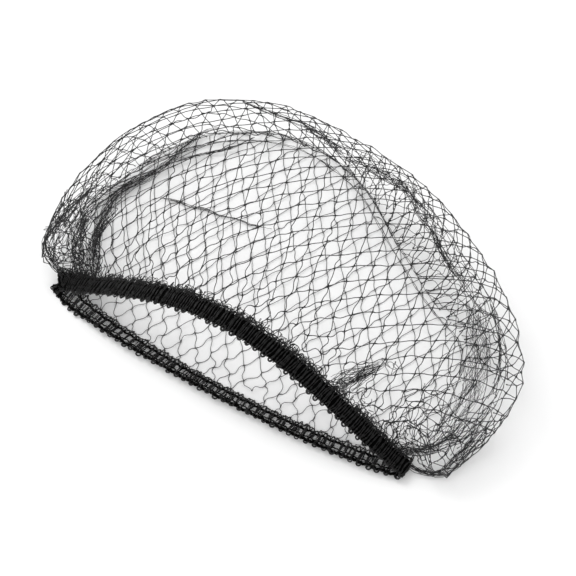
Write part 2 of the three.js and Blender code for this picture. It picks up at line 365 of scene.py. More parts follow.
def unfoldedDome():
    columns = np.arange(0, grid["columns"], unfold["columnStep"])
    rows = np.linspace(0, lastRow, unfold["rows"]).astype(int)
    solid = domeGrid[columns][:, rows]
    run = domeLengths[columns, None] * rows / lastRow
    outward = unit(solid[:, 0, :2] - solid[:, -1, :2] + np.array([0, 1e-3]))
    crests = np.array([
        [np.interp(crestLengths[column], run[k], solid[k, :, axis]) for axis in (0, 1)]
        for k, column in enumerate(columns)
    ])
    flat = crests[:, None] + outward[:, None] * (crestLengths[columns, None] - run)[:, :, None]
    index = np.arange(flat.shape[0] * flat.shape[1]).reshape(flat.shape[:2])
    springs = np.concatenate([
        pairsOf(index[:-1], index[1:]),
        pairsOf(index[:, :-1], index[:, 1:]),
        pairsOf(index[:-1, :-1], index[1:, 1:]),
        pairsOf(index[1:, :-1], index[:-1, 1:]),
    ])
    solid, flat = solid.reshape(-1, 3), flat.reshape(-1, 2)
    first, second = springs.T
    goal = np.linalg.norm(solid[second] - solid[first], axis=1)
    count = np.bincount(springs.ravel(), minlength=len(flat))[:, None]
    summed = lambda ends, pull: np.bincount(ends, pull, len(flat))
    for _ in range(unfold["rounds"]):
        gap = flat[second] - flat[first]
        length = np.maximum(np.linalg.norm(gap, axis=1), 1e-6)
        pull = gap * (0.5 * (length - goal) / length)[:, None]
        move = np.stack([summed(first, pull[:, k]) - summed(second, pull[:, k]) for k in (0, 1)], 1)
        flat = flat + unfold["eagerness"] * move / count
    marks = np.stack(np.meshgrid(columns, rows, indexing="ij"), -1).reshape(-1, 2)
    a, b, c, d = (part.ravel() for part in (index[:-1, :-1], index[1:, :-1], index[1:, 1:], index[:-1, 1:]))
    corners = np.concatenate([np.stack([a, b, c], 1), np.stack([a, c, d], 1)])
    return flat, marks.astype(float), corners


flatPoints, flatMarks, flatCorners = unfoldedDome()
flatTree = BVHTree.FromPolygons(np.c_[flatPoints, 0 * flatPoints[:, 0]].tolist(), flatCorners.tolist())


def domeAt(column, row):
    low, below = min(int(column), grid["columns"] - 2), min(int(row), grid["domeRows"] - 2)
    t, s = column - low, row - below
    near = domeGrid[low, below] * (1 - s) + domeGrid[low, below + 1] * s
    far = domeGrid[low + 1, below] * (1 - s) + domeGrid[low + 1, below + 1] * s
    return near * (1 - t) + far * t


def meshSteps(halfAngle):
    return net["barLength"] * math.sin(halfAngle), net["barLength"] * math.cos(halfAngle)


def sheetPlace(i, j, lay):
    # a knot of the lattice on the flat sheet, as column and row of the dome's grid; None past an edge
    across, ahead = meshSteps(lay["halfAngle"])
    c, s = math.cos(lay["turn"]), math.sin(lay["turn"])
    x = lay["centre"][0] + i * across * c - j * ahead * s
    y = lay["centre"][1] + i * across * s + j * ahead * c
    face = flatTree.ray_cast(Vector((x, y, 1)), Vector((0, 0, -1)))[2]
    if face is None:
        return None
    corners = flatCorners[face]
    first, second, third = flatPoints[corners]
    shares = np.linalg.solve(np.array([second - first, third - first]).T, np.array([x, y]) - first)
    weights = np.clip(np.array([1 - shares.sum(), *shares]), 0, 1)
    return weights @ flatMarks[corners] / weights.sum()


def domePlace(i, j):
    place = sheetPlace(i, j, net)
    return None if place is None else domeAt(*place)


# A pleat of spare net inside the rim: it leaves the dome at the fold and joins it again higher up.
pleat = {
    "halfAngle": math.radians(25),
    "turn": math.radians(17),
    "centre": (7.0, 16.0),
    "columnShares": (0.0, 0.06, 0.16, 0.3, 0.45, 0.6, 0.75, 0.88, 1.0),
    "reach": (1.0, 0.85, 0.45, 0.08, 0.1, 0.38, 0.55, 0.8, 1.0),   # share of the dome that it covers
    "least": 0.15,            # and none where it covers less than this
    "depth": 8.0,
    "fullDepthFrom": 80.0,    # length of a section from which it is that deep
    "middle": (0.0, 60.0, 8.0),
    "rows": 30,
    "threadRadius": 0.13,
}


def pleatAt(column, row, reach):
    point = domeAt(column, row)
    inward = unit(np.array(pleat["middle"]) - point)
    share = row / lastRow / reach
    size = pleat["depth"] * min(1, domeLengths[int(column)] / pleat["fullDepthFrom"])
    return point + inward * size * math.sin(math.pi * min(1, share))


def pleatReach(column):
    return np.interp(column / (grid["columns"] - 1), pleat["columnShares"], pleat["reach"])


def pleatPlace(i, j):
    place = sheetPlace(i, j, pleat)
    if place is None:
        return None
    reach = pleatReach(place[0])
    if reach < pleat["least"] or place[1] / lastRow > reach:
        return None
    return pleatAt(*place, reach)


pleatShares = np.linspace(0, 1, pleat["rows"])
pleatTree = treeOf(np.array([
    [pleatAt(column, share * pleatReach(column) * lastRow, pleatReach(column)) for share in pleatShares]
    for column in range(grid["columns"])
]))


# Where the net is drawn together at each end of the mouth: a closer lattice along the columns of the form.
endFan = {
    "inset": 0.7,
    "span": (25, 28),         # columns, at the left end and at the right end
    "columnStep": (1.5, 1.8),
    "rowStep": 6.2,
    "raggedness": 5.0,
    "raggedWave": 2.4,
    "threadRadius": 0.16,
    "bowShare": 0.15,
}


def endFanPlace(side):
    end = 0 if side < 0 else 1

    def place(i, j):
        inwards = endFan["columnStep"][end] * i + endFan["inset"]
        span = endFan["span"][end] + endFan["raggedness"] * math.sin(endFan["raggedWave"] * j)
        if not endFan["inset"] <= inwards <= span or j < 0:
            return None
        column = inwards if side < 0 else grid["columns"] - 1 - inwards
        share = 1 - endFan["rowStep"] * j / domeLengths[int(column)]
        return domeAt(column, share * lastRow) if share > 0 else None
    return place


floorEdge = np.vstack([floorGrid[:, 0, :2], floorGrid[::-1, -1, :2]])


def floorPlace(i, j):
    across, ahead = meshSteps(net["halfAngle"])
    c, s = math.cos(net["floorTurn"]), math.sin(net["floorTurn"])
    x = i * across * c + j * ahead * s
    y = net["floorStart"] - i * across * s + j * ahead * c
    x0, y0 = floorEdge.T
    x1, y1 = np.roll(floorEdge, -1, 0).T
    slope = (x1 - x0) / np.where(y1 == y0, tiny, y1 - y0)
    crossings = ((y0 > y) != (y1 > y)) & (x < slope * (y - y0) + x0)
    return np.array([x, y, form["netMiddle"]]) if crossings.sum() % 2 else None


def lastInside(placeOf, i, j, di, dj):
    # how far a bar from knot i, j reaches before the sheet ends
    inside, outside = 0.0, 1.0
    for _ in range(net["cutRounds"]):
        share = (inside + outside) / 2
        if placeOf(i + di * share, j + dj * share) is None:
            outside = share
        else:
            inside = share
    return inside


def layLattice(placeOf, tree, reach, cutBars=True):
    span = range(-reach, reach + 1)
    found, points, bars = {}, [], []
    for i in span:
        for j in span:
            if (i + j) % 2 == 0:
                point = placeOf(i, j)
                if point is not None:
                    found[i, j] = len(points)
                    points.append(point)
    pinned = [False] * len(points)
    for (i, j), k in list(found.items()):
        for di, dj in ((1, 1), (-1, 1), (1, -1), (-1, -1)):
            other = found.get((i + di, j + dj))
            if other is not None:
                if other > k:
                    bars.append((k, other))
            elif cutBars:
                inside = lastInside(placeOf, i, j, di, dj)
                if inside > net["shortestCut"]:
                    points.append(placeOf(i + di * inside, j + dj * inside))
                    pinned.append(True)
                    bars.append((k, len(points) - 1))
    points, bars, pinned = np.array(points), np.array(bars), np.array(pinned)
    first = np.linalg.norm(points[bars[:, 1]] - points[bars[:, 0]], axis=1)
    goal = np.where(pinned[bars].any(1), first, net["barLength"] * net["goalShare"])
    return relaxed(points, bars, pinned, goal, tree), bars, pinned


def relaxed(points, bars, pinned, goal, tree):
    # a knotted net shears freely but its bars keep their length
    count = np.maximum(np.bincount(bars.ravel(), minlength=len(points)), 1)[:, None].astype(float)
    points = points + settle["stray"] * drift(points) * np.where(pinned, 0, 1)[:, None]
    for step in range(settle["steps"]):
        gap = points[bars[:, 1]] - points[bars[:, 0]]
        length = np.linalg.norm(gap, axis=1)
        over = length - goal
        over = np.where(over < 0, settle["give"] * over, over)
        pull = gap * (0.5 * over / np.maximum(length, 1e-6) + settle["even"])[:, None]
        move = np.zeros_like(points)
        np.add.at(move, bars[:, 0], pull)
        np.add.at(move, bars[:, 1], -pull)
        move[pinned] = 0
        points = points + settle["eagerness"] * move / count
        if step % settle["backToFormEvery"] == settle["backToFormEvery"] - 1:
            points = nearest(tree, points)
    return points


netDraw = np.random.default_rng(net["seed"])


def netBars(points, bars, pinned, tree, radius, edge, bowShare=bow["share"]):
    # each bar keeps its length: what is spare goes into a bow and a bend to and fro
    normals = surfaceNormals(tree, points)
    points = points + bow["knotJitter"] * netDraw.normal(size=points.shape) * np.where(pinned, 0, 1)[:, None]
    start, end = points[bars[:, 0]], points[bars[:, 1]]
    gap = end - start
    length = np.maximum(np.linalg.norm(gap, axis=1), bow["shortest"])
    distance = np.linalg.norm(((start + end) / 2)[:, None] - edge[None], axis=2).min(1)
    near = np.exp(-((distance / bow["bandSlackReach"]) ** 2))
    spare = (bow["slack"] + bow["bandSlack"] * near) * netDraw.uniform(*bow["slackSpread"], len(bars))
    unused = np.clip((net["barLength"] - length) / length, 0, bow["mostSpare"])
    spare = np.where(pinned[bars].any(1), spare, unused * bowShare + spare)
    size = np.minimum(2 / math.pi * np.sqrt(spare) * length, bow["mostBow"])
    normal = normals[bars[:, 0]]
    beside = unit(np.cross(normal, gap))
    turn = netDraw.normal(0, bow["turnSpread"], len(bars))[:, None]
    way = beside * np.cos(turn) + normal * np.sin(turn)
    once = np.clip(netDraw.normal(0, bow["spread"], len(bars)), -1, 1) * size
    twice = np.sqrt(np.maximum(0, size ** 2 - once ** 2)) / 2 * netDraw.choice([-1, 1], len(bars))
    t = np.linspace(0, 1, net["barSteps"])
    swing = once[:, None] * np.sin(math.pi * t) + twice[:, None] * np.sin(fullTurn * t)
    paths = start[:, None] + gap[:, None] * t[None, :, None] + way[:, None] * swing[:, :, None]
    paths[:, :, 2] = np.maximum(paths[:, :, 2], radius)
    swell = 1 + (net["knotSwell"] - 1) * np.exp(-((np.minimum(t, 1 - t) / net["knotShare"]) ** 2))
    radii = np.broadcast_to(radius * swell, paths.shape[:2])
    return threadTubes(paths, radii, np.broadcast_to(normal[:, None], paths.shape))


edgeSteps = np.linspace(-form["mouthHalf"], form["mouthHalf"], bow["edgePoints"])
upperEdge = np.array([netEdge(upperPlace, x) for x in edgeSteps])
lowerEdge = np.array([netEdge(lowerPlace, x) for x in edgeSteps])

domeNet = layLattice(domePlace, domeTree, net["reach"])
floorNet = layLattice(floorPlace, floorTree, net["floorReach"])
pleatNet = layLattice(pleatPlace, pleatTree, net["reach"])
fanNets = [layLattice(endFanPlace(side), domeTree, net["reach"], cutBars=False) for side in (-1, 1)]
print("net relaxed", len(domeNet[1]), len(floorNet[1]), len(pleatNet[1]), "bars")

upperBars = [netBars(*domeNet, domeTree, net["threadRadius"], upperEdge)]
for fan in fanNets:
    upperBars.append(netBars(*fan, domeTree, endFan["threadRadius"], upperEdge, endFan["bowShare"]))
netDome = meshPiece("netUpperLayer", upperBars)
netPleat = meshPiece("netPleat", [netBars(*pleatNet, pleatTree, pleat["threadRadius"], upperEdge)])
netFloor = meshPiece("netFloorLayer", [netBars(*floorNet, floorTree, net["floorThreadRadius"], lowerEdge)])


# Gathers: where spare net lies bunched in a crease, a fold or a tuft, as many strands side by side
# with short bars across.
gathers = {
    "spacing": 1.2,
    "curveSteps": 12,
    "fewestPoints": 8,
    "swell": 0.15,            # share that a bunch swells, mm for one radian of that wave, and where it starts
    "swellWave": 9,
    "swellPhase": (0, 6),
    "longWave": (18.0, 60.0),
    "across": (0.85, 0.3),    # where a strand lies in the width, and how far it wanders
    "above": (0.25, 0.15),
    "ripple": 0.12,
    "rippleRate": 6,
    "knotShare": 0.06,
    "knotSwell": 1.7,
    "ragged": (0.12, 0.4),    # share of a bunch over which its strands begin, and over which they run out
    "barReach": (2, 7),       # steps along the bunch, and how many before its end no bar starts any more
    "barsEnd": 4,
    "barBow": (0.15, 0.15),   # share of the width, and mm
    "barBend": 0.6,
    "seed": 8,
}


def bunch(halfWidths, strands, barsPerMm, radius, points):
    return {"halfWidths": halfWidths, "strands": strands, "barsPerMm": barsPerMm, "radius": radius,
            "points": points}


# half width at the start and at the end, strands, bars across per mm, thread radius, points on the form
bunches = {
    "innerCreaseLeft": bunch((3.4, 1.2), 18, 0.3, 0.09, [
        (-85, 17, 3), (-96, 38, 2), (-101, 58, 2), (-96, 74, 2), (-92, 88, 3), (-91, 103, 3), (-87, 118, 2),
        (-79, 124, 2)]),
    "creaseBridge": bunch((1.2, 0.7), 8, 0.15, 0.09, [
        (-92, 88, 3), (-83, 102, 2), (-73, 113, 2), (-67, 128, 1)]),
    "creaseOuterLeft": bunch((2.4, 1.2), 10, 0.25, 0.1, [
        (-108, 40, 6), (-107, 56, 4), (-103, 65, 3), (-97, 77, 3), (-92, 88, 2)]),
    "floorTuck": bunch((0.9, 0.5), 5, 0.2, 0.09, [
        (-84, 70, 1), (-76, 73, 1), (-69, 73.5, 1), (-61, 76, 1), (-55, 76.2, 1), (-46, 79, 1),
        (-39, 79.6, 1), (-31, 82.4, 1), (-23, 85, 1)]),
    "leftEndOuter": bunch((2.2, 3.8), 13, 0.9, 0.13, [
        (-86, 2, 9), (-96, 5, 13), (-101, 9, 19), (-101, 17, 25), (-97, 25, 32), (-92, 34, 39)]),
    "leftEndMiddle": bunch((3.0, 5.2), 15, 1.2, 0.13, [
        (-82, 5, 10), (-88, 12, 13), (-90, 15, 24), (-89, 22, 32), (-84, 31, 39)]),
    "leftEndInner": bunch((2.8, 3.4), 13, 0.9, 0.13, [
        (-74, 6, 12), (-80, 14, 14), (-84, 22, 20), (-84, 32, 26), (-84, 45, 30)]),
    "crownTangle": bunch((3.6, 4.2), 9, 0.6, 0.11, [
        (-31, 109, 49), (-15, 105, 51), (-3, 102, 52), (8, 101, 52), (20, 99, 52), (31, 99, 51),
        (39, 97, 50)]),
    "crownRim": bunch((0.7, 2.2), 6, 0.15, 0.13, [
        (-63, 109, 44), (-50, 107, 48), (-38, 107, 50), (-24, 107, 51), (-11, 107, 50), (1, 106, 51)]),
    "rightInnerFold": bunch((4.5, 5.0), 30, 0.2, 0.07, [
        (72, 90, 9), (83, 77, 10), (92, 63, 11), (97, 47, 11), (98, 33, 10), (96, 18, 8), (90, 8, 6)]),
    "rightStreak": bunch((3.4, 2.4), 12, 0.3, 0.12, [
        (9, 101, 52), (19, 101, 51), (28, 99, 51), (39, 93, 52), (51, 85, 52), (64, 74, 51), (75, 69, 49),
        (85, 64, 46), (92, 62, 42)]),
    "rightFoldEdge": bunch((0.9, 0.7), 5, 0.25, 0.12, [
        (84, 86, 20), (91, 79, 17), (98, 70, 14), (103, 59, 13), (105, 48, 13)]),
    "rightFoldNear": bunch((0.8, 0.5), 3, 0.2, 0.1, [
        (84, 68, 10), (87, 57, 10), (91, 40, 10), (94, 26, 10), (95, 14, 9)]),
    "rightEndUpper": bunch((2.4, 5.0), 18, 0.8, 0.12, [
        (84, 3, 7), (93, 9, 8), (99, 16, 9), (104, 26, 10), (106, 38, 12)]),
    "rightEndLower": bunch((1.8, 3.0), 12, 0.5, 0.12, [
        (89, 4, 3), (97, 4, 2), (105, 8, 2), (108, 18, 4), (110, 32, 8), (112, 46, 14)]),
    "bandTuft": bunch((7.0, 1.6), 38, 0.8, 0.09, [
        (53, 5, 27), (57, 9, 30), (62, 14, 34), (68, 21, 39)]),
}

# The fold where the lower layer turns up, as two thin bunches beside each other.
foldLine = {"columns": slice(12, -12), "rows": (-1, -3), "lift": 0.8, "points": 300}
foldBunch = bunch((0.5, 0.5), 2, 0.1, 0.11, None)

# Loose curls of spare thread.
curls = {"steps": 16, "turns": (0.5, 1.0), "sizes": (0.5, 1.2), "radius": 0.13, "lowest": 0.2, "nudge": 0.01}
curlColumns = ["count", "spread", "size", "centre"]
curlRows = {
    "besideTuft": (6, 4.0, 2.4, (66, 9, 25)),
    "rightBandMiddle": (8, 5.0, 2.4, (74, 9, 18)),
    "rightBandEnd": (9, 4.0, 2.0, (84, 8, 10)),
    "leftBandEnd": (10, 4.0, 2.0, (-84, 8, 10)),
    "tuftTip": (4, 2.0, 2.6, (70, 23, 38)),
    "leftEndTangle": (12, 7.0, 3.2, (-93, 17, 24)),
    "leftEndUpper": (8, 6.0, 2.6, (-90, 34, 36)),
    "crownTangle": (9, 7.0, 1.9, (8, 99, 52)),
    "crownTangleEnd": (4, 5.0, 1.9, (30, 97, 51)),
}


def curlTubes(patch, draw):
    count = patch["count"]
    t = np.linspace(0, 1, curls["steps"])
    turns = draw.uniform(*curls["turns"], (count, 1))
    angle = fullTurn * turns * t + draw.uniform(*anyPhase, (count, 1))
    radius = patch["size"] * draw.uniform(*curls["sizes"], (count, 1))
    first, second = unit(draw.normal(size=(count, 3))), unit(draw.normal(size=(count, 3)))
    middles = np.array(patch["centre"]) + patch["spread"] * draw.uniform(-1, 1, (count, 3))
    ring = first[:, None] * np.cos(angle)[:, :, None] + second[:, None] * np.sin(angle)[:, :, None]
    paths = nearest(domeTree, middles)[:, None] + radius[:, :, None] * ring
    paths = paths + unit(draw.normal(size=(count, 3)))[:, None] * (radius * (t - 0.5))[:, :, None]
    paths[:, :, 2] = np.maximum(paths[:, :, 2], curls["lowest"])
    reference = np.broadcast_to(np.cross(first, second)[:, None] + curls["nudge"], paths.shape)
    return evenTubes(paths, curls["radius"], reference)


def smoothPath(points):
    points = np.array(points, float)
    padded = np.vstack([2 * points[0] - points[1], points, 2 * points[-1] - points[-2]])
    line = []
    for k in range(1, len(padded) - 2):
        a, b, c, d = padded[k - 1:k + 3]
        square, cube = 2 * a - 5 * b + 4 * c - d, 3 * b - a - 3 * c + d
        for t in np.linspace(0, 1, gathers["curveSteps"], endpoint=False):
            line.append(0.5 * (2 * b + (c - a) * t + square * t * t + cube * t ** 3))
    line = np.array(line + [points[-1]])
    count = int(runningLengths(line)[-1] / gathers["spacing"])
    return evenlySpaced(line, max(gathers["fewestPoints"], count))


def bunchStrands(line, lay, draw):
    # strands side by side along the line, each from and to a place of its own
    count, run = len(line), runningLengths(line)
    tangent = unit(np.gradient(line, axis=0))
    beside = unit(np.cross(tangent, np.array([[0, 0, 1.0]])))
    above = np.cross(beside, tangent)
    share = run / run[-1]
    startHalf, endHalf = lay["halfWidths"]
    swell = 1 + gathers["swell"] * np.sin(run / gathers["swellWave"] + draw.uniform(*gathers["swellPhase"]))
    width = (startHalf + (endHalf - startHalf) * share) * swell
    frames = np.concatenate([line, beside, above, width[:, None]], 1)
    paths, sides = [], []
    for _ in range(lay["strands"]):
        first = draw.uniform(0, gathers["ragged"][0])
        last = 1 - draw.uniform(0, gathers["ragged"][1])
        at = np.linspace(first, last, count)
        local = np.stack([np.interp(at, share, frames[:, k]) for k in range(10)], 1)
        place, side, up, wide = local[:, :3], local[:, 3:6], local[:, 6:9], local[:, 9]
        waves = fullTurn / draw.uniform(*gathers["longWave"], 3)
        phases = draw.uniform(*anyPhase, 3)
        fixed, loose = gathers["across"]
        across = fixed * draw.uniform(-1, 1) + loose * np.sin(run * waves[0] + phases[0])
        fixed, loose = gathers["above"]
        over = fixed * draw.uniform(-1, 1) + loose * np.sin(run * waves[1] + phases[1])
        ripple = gathers["ripple"] * np.sin(run * waves[2] * gathers["rippleRate"] + phases[2])
        paths.append(place + side * (wide * across + ripple)[:, None] + up * (wide * over)[:, None])
        sides.append(up)
    return np.array(paths), np.array(sides), frames


def gatherTubes(line, lay, draw):
    paths, sides, frames = bunchStrands(line, lay, draw)
    radius, count, strands = lay["radius"], len(line), lay["strands"]
    tangent = unit(np.gradient(line, axis=0))
    beside, above, width = frames[:, 3:6], frames[:, 6:9], frames[:, 9]
    paths[:, :, 2] = np.maximum(paths[:, :, 2], radius)
    knots = draw.random(paths.shape[:2]) < gathers["knotShare"]
    tubes = [threadTubes(paths, radius * np.where(knots, gathers["knotSwell"], 1.0), sides)]
    bars = int(lay["barsPerMm"] * runningLengths(line)[-1])
    first = draw.integers(0, count - gathers["barsEnd"], bars)
    last = np.minimum(first + draw.integers(*gathers["barReach"], bars), count - 1)
    start = paths[draw.integers(0, strands, bars), first]
    end = paths[draw.integers(0, strands, bars), last]
    t = np.linspace(0, 1, net["barSteps"])
    size = (gathers["barBow"][0] * width[first] + gathers["barBow"][1])[:, None, None]
    once = size * draw.normal(size=(bars, 1, 1)) * np.sin(math.pi * t)[None, :, None]
    twice = gathers["barBend"] * size * draw.normal(size=(bars, 1, 1)) * np.sin(fullTurn * t)[None, :, None]
    short = start[:, None] + (end - start)[:, None] * t[None, :, None]
    short = short + beside[first][:, None] * once + tangent[first][:, None] * twice
    short[:, :, 2] = np.maximum(short[:, :, 2], radius)
    tubes.append(evenTubes(short, radius, np.broadcast_to(above[first][:, None], short.shape)))
    return tubes


gatherDraw = np.random.default_rng(gathers["seed"])
gatherParts = []
for lay in bunches.values():
    gatherParts += gatherTubes(smoothPath(lay["points"]), lay, gatherDraw)
for row in foldLine["rows"]:
    line = floorGrid[foldLine["columns"], row] + np.array([0, 0, foldLine["lift"]])
    gatherParts += gatherTubes(evenlySpaced(line, foldLine["points"]), foldBunch, gatherDraw)
gatherParts += [curlTubes(dict(zip(curlColumns, row)), gatherDraw) for row in curlRows.values()]
netGathers = meshPiece("netGathers", gatherParts)


# The elastic band: its middle line with an along, a width and a depth direction at each frame.
band = {
    "picots": 94,
    "framesPerPicot": 16,
    "arcSteps": 120,
    "bendSteps": 8,
    "halfWidth": 3.3,
    "halfDepth": 0.85,
    "endTwist": math.radians(40),   # how far the band stands on edge where it turns back at the left
    "endTwistReach": 16.0,
    "raisedSpread": 0.2,      # how much wider the raised arc is
    "raisedShift": 0.6,       # and how far that moves it towards the net, mm
    "raisedFade": 0.04,       # share of the loop over which that comes in
    "laceFade": 0.012,        # the same for the lace of the lower arc
    "lowest": 0.3,
    "seed": 4,
}


def bendPoints(side):
    lower, upper = (place(side * form["mouthHalf"])[0] for place in (lowerPlace, upperPlace))
    radius, steps = (upper[2] - lower[2]) / 2, band["bendSteps"]
    found = []
    for step in range(1, steps):
        angle = math.pi * (step / steps - 0.5)
        point = lower + (upper - lower) * step / steps
        point[0] += side * radius * math.cos(angle)
        point[2] = lower[2] + radius * (1 + math.sin(angle))
        found.append((point, 0.0))
    return found


def loopFrames(count):
    # round the loop from the left turn: the lower arc to the right, then the raised arc back
    steps = band["arcSteps"]
    xs = [-form["mouthHalf"] * math.cos(math.pi * step / steps) for step in range(steps + 1)]
    loop = [lowerPlace(x) for x in xs] + bendPoints(1)
    loop += [upperPlace(-x) for x in xs] + bendPoints(-1)[::-1]
    points = np.array([point for point, _ in loop])
    tilts = np.array([tilt for _, tilt in loop])
    lengths = runningLengths(np.vstack([points, points[:1]]))
    targets = lengths[-1] * np.arange(count) / count
    middle = np.stack([np.interp(targets, lengths, np.r_[points[:, k], points[0, k]]) for k in range(3)], 1)
    tilt = np.interp(targets, lengths, np.r_[tilts, tilts[0]])
    toLeftTurn = np.minimum(targets, lengths[-1] - targets)
    tilt = tilt + band["endTwist"] * np.exp(-((toLeftTurn / band["endTwistReach"]) ** 2))
    along = unit(np.roll(middle, -1, 0) - np.roll(middle, 1, 0))
    width = np.stack([np.zeros(count), np.cos(tilt), np.sin(tilt)], 1)
    width = unit(width - (width * along).sum(1, keepdims=True) * along)
    return middle, along, width, np.cross(along, width), lengths[-1]


frameCount = band["picots"] * band["framesPerPicot"]
middle, alongWay, widthWay, depthWay, loopLength = loopFrames(frameCount)
lowerSteps = np.linspace(-form["mouthHalf"], form["mouthHalf"], band["arcSteps"] + 1)
lowerLine = np.array([lowerPlace(x)[0] for x in lowerSteps])
lowerShare = runningLengths(lowerLine)[-1] / loopLength
cordShares = np.arange(0, frameCount, 2) / frameCount


def laceAt(share, fade=band["laceFade"]):
    # 1 on the lower arc and 0 on the raised arc
    return np.clip((share % 1) / fade, 0, 1) * np.clip((lowerShare - share % 1) / fade, 0, 1)


def bandPoints(share, width, depth, lowest=band["lowest"]):
    # share of the way round, and how far out along the band's width and depth
    place = (share % 1) * frameCount
    first = place.astype(int) % frameCount
    second = (first + 1) % frameCount
    t = (place - place.astype(int))[..., None]
    mix = lambda values: values[first] * (1 - t) + values[second] * t
    raised = 1 - laceAt(share, band["raisedFade"])
    width = width + raised * (band["raisedSpread"] * width + band["raisedShift"])
    outwards, upwards = np.asarray(width)[..., None], np.asarray(depth)[..., None]
    points = mix(middle) + mix(widthWay) * outwards + mix(depthWay) * upwards
    points[..., 2] = np.maximum(points[..., 2], lowest)
    return points


def bandDirections(share, table):
    return table[((share % 1) * frameCount).astype(int) % frameCount]


def wavesRound(share, count, phase=0.0):
    return np.sin(fullTurn * count * share + phase)


# The ribs: a beaded yarn that winds round the band once for each rib.
ribs = {
    "count": 345,
    "steps": 45,
    "sides": 4,
    "radius": 0.28,
    "radiusSpread": 0.1,
    "beads": 11,              # stitches that swell one rib on its way round
    "beadSwell": 0.38,
    "beadDepth": 0.12,
    "beadPhase": 0.6,
    "squareness": 0.6,        # under 1 squares the band's section
    "slant": 0.13,            # mm that a rib leans for each mm of width at the left end of the raised arc
    "scallop": 0.07,
    "widthSpread": 0.05,
    "depthSpread": 0.2,
    "lumps": ((37, 0.12), (60.31, 0.1)),   # waves round the loop, and their share of the depth
    "wander": 0.2,            # in ribs
    "wanderWaves": (1, 2, 3),
    "wanderWave": 0.16,
    "group": 3,               # ribs that close up on the lower arc, how far and how evenly
    "groupShare": 0.7,
    "groupSpread": (0.55, 1.3),
    "lowerDepthLoss": 0.4,
    "lowerLeanLoss": 0.8,
    "lowerWander": 0.8,
    "lowerThinning": 0.18,
}


def elasticRibs(draw):
    count = ribs["count"]
    one = (count, 1)
    turn = np.arange(count)
    lace = laceAt(turn / count)
    closeUp = ribs["groupShare"] * lace * draw.uniform(*ribs["groupSpread"], count)
    group = turn - (turn % ribs["group"]) * closeUp
    t = np.linspace(0, 1, ribs["steps"])
    c, s = np.cos(fullTurn * t), np.sin(fullTurn * t)
    scallop = -ribs["scallop"] * np.cos(fullTurn * band["picots"] * (turn + 0.5) / count)[:, None]
    width = -band["halfWidth"] * np.sign(c) * np.abs(c) ** ribs["squareness"]
    width = width * (1 + scallop + draw.normal(0, ribs["widthSpread"], one))
    depth = band["halfDepth"] * np.sign(s) * np.abs(s) ** ribs["squareness"]
    depth = depth * (1 + draw.normal(0, ribs["depthSpread"], one))
    lump = sum(size * wavesRound(turn / count, waves) for waves, size in ribs["lumps"])
    depth = depth * (1 + lump - ribs["lowerDepthLoss"] * lace)[:, None]
    lace = lace[:, None]
    wander = draw.normal(0, ribs["wander"], one) * (1 + ribs["lowerWander"] * lace)
    for waves in ribs["wanderWaves"]:
        size = draw.normal(0, ribs["wanderWave"], one)
        wander = wander + size * wavesRound(t, waves, draw.uniform(*anyPhase, one))
    toLeft = np.clip((turn / count - lowerShare) / (1 - lowerShare), 0, 1)[:, None]
    slant = ribs["slant"] * toLeft * (1 - lace) * width / loopLength
    share = (group[:, None] + t[None] * (1 - ribs["lowerLeanLoss"] * lace) + wander) / count - slant
    bead = np.cos(fullTurn * ribs["beads"] * t + draw.normal(0, ribs["beadPhase"], one))
    paths = bandPoints(share, width, depth * (1 + ribs["beadDepth"] * bead))
    radii = ribs["radius"] * (1 + ribs["beadSwell"] * bead) * (1 - ribs["lowerThinning"] * lace)
    radii = radii * (1 + draw.normal(0, ribs["radiusSpread"], paths.shape[:2]))
    return threadTubes(paths, radii, bandDirections(share, alongWay), sides=ribs["sides"])


# The picots: small rings along the outer edge.
picot = {
    "steps": 12,
    "turnReach": 5.0,         # none shows this near the left turn
    "size": 0.92,
    "sizeSpread": 0.08,
    "radius": 0.46,
    "radiusSpread": 0.12,
    "inset": 0.1,             # mm inside the edge on the raised arc
    "lowerShift": 0.4,        # and how much further out on the lower arc
    "alongSpread": 0.2,
    "widthSpread": 0.15,
    "depthSpread": 0.25,
    "lowerSpread": 0.048,
    "lowerThinning": 0.12,
    "lift": 1.2,
}


def picotRings(draw):
    centre = (np.arange(band["picots"]) + 0.5) / band["picots"]
    centre = centre[np.minimum(centre, 1 - centre) * loopLength > picot["turnReach"]]
    one = (len(centre), 1)
    angle = fullTurn * np.arange(picot["steps"]) / picot["steps"]
    lower = laceAt(centre)[:, None]
    size = picot["size"] + draw.normal(0, picot["sizeSpread"] + picot["lowerSpread"] * lower, one)
    along = size * np.cos(angle) + draw.normal(0, picot["alongSpread"], one)
    share = centre[:, None] + along / loopLength
    edge = -band["halfWidth"] + picot["inset"] - picot["lowerShift"] * lower
    width = edge + draw.normal(0, picot["widthSpread"], one) + size * np.sin(angle)
    depth = draw.normal(0, picot["depthSpread"], one) + 0 * angle
    paths = bandPoints(share, width, depth, picot["lift"] * picot["radius"])
    thinning = 1 - picot["lowerThinning"] * lower + draw.normal(0, picot["radiusSpread"], one)
    radii = picot["radius"] * thinning + 0 * angle
    return threadTubes(paths, radii, bandDirections(share, depthWay), closed=True)


# Fine ends that lie across the ribs of the raised arc.
surfaceEnds = {
    "count": 240,
    "steps": 9,
    "sides": 4,
    "length": (0.5, 3.0),
    "wave": (0.2, 0.8),
    "across": 3.0,
    "lean": 2.0,
    "depth": 0.9,
    "rise": 0.3,
    "riseSpread": (0.4, 1.2),
    "widthLimits": (-3.2, 3.4),
    "radius": 0.11,
}


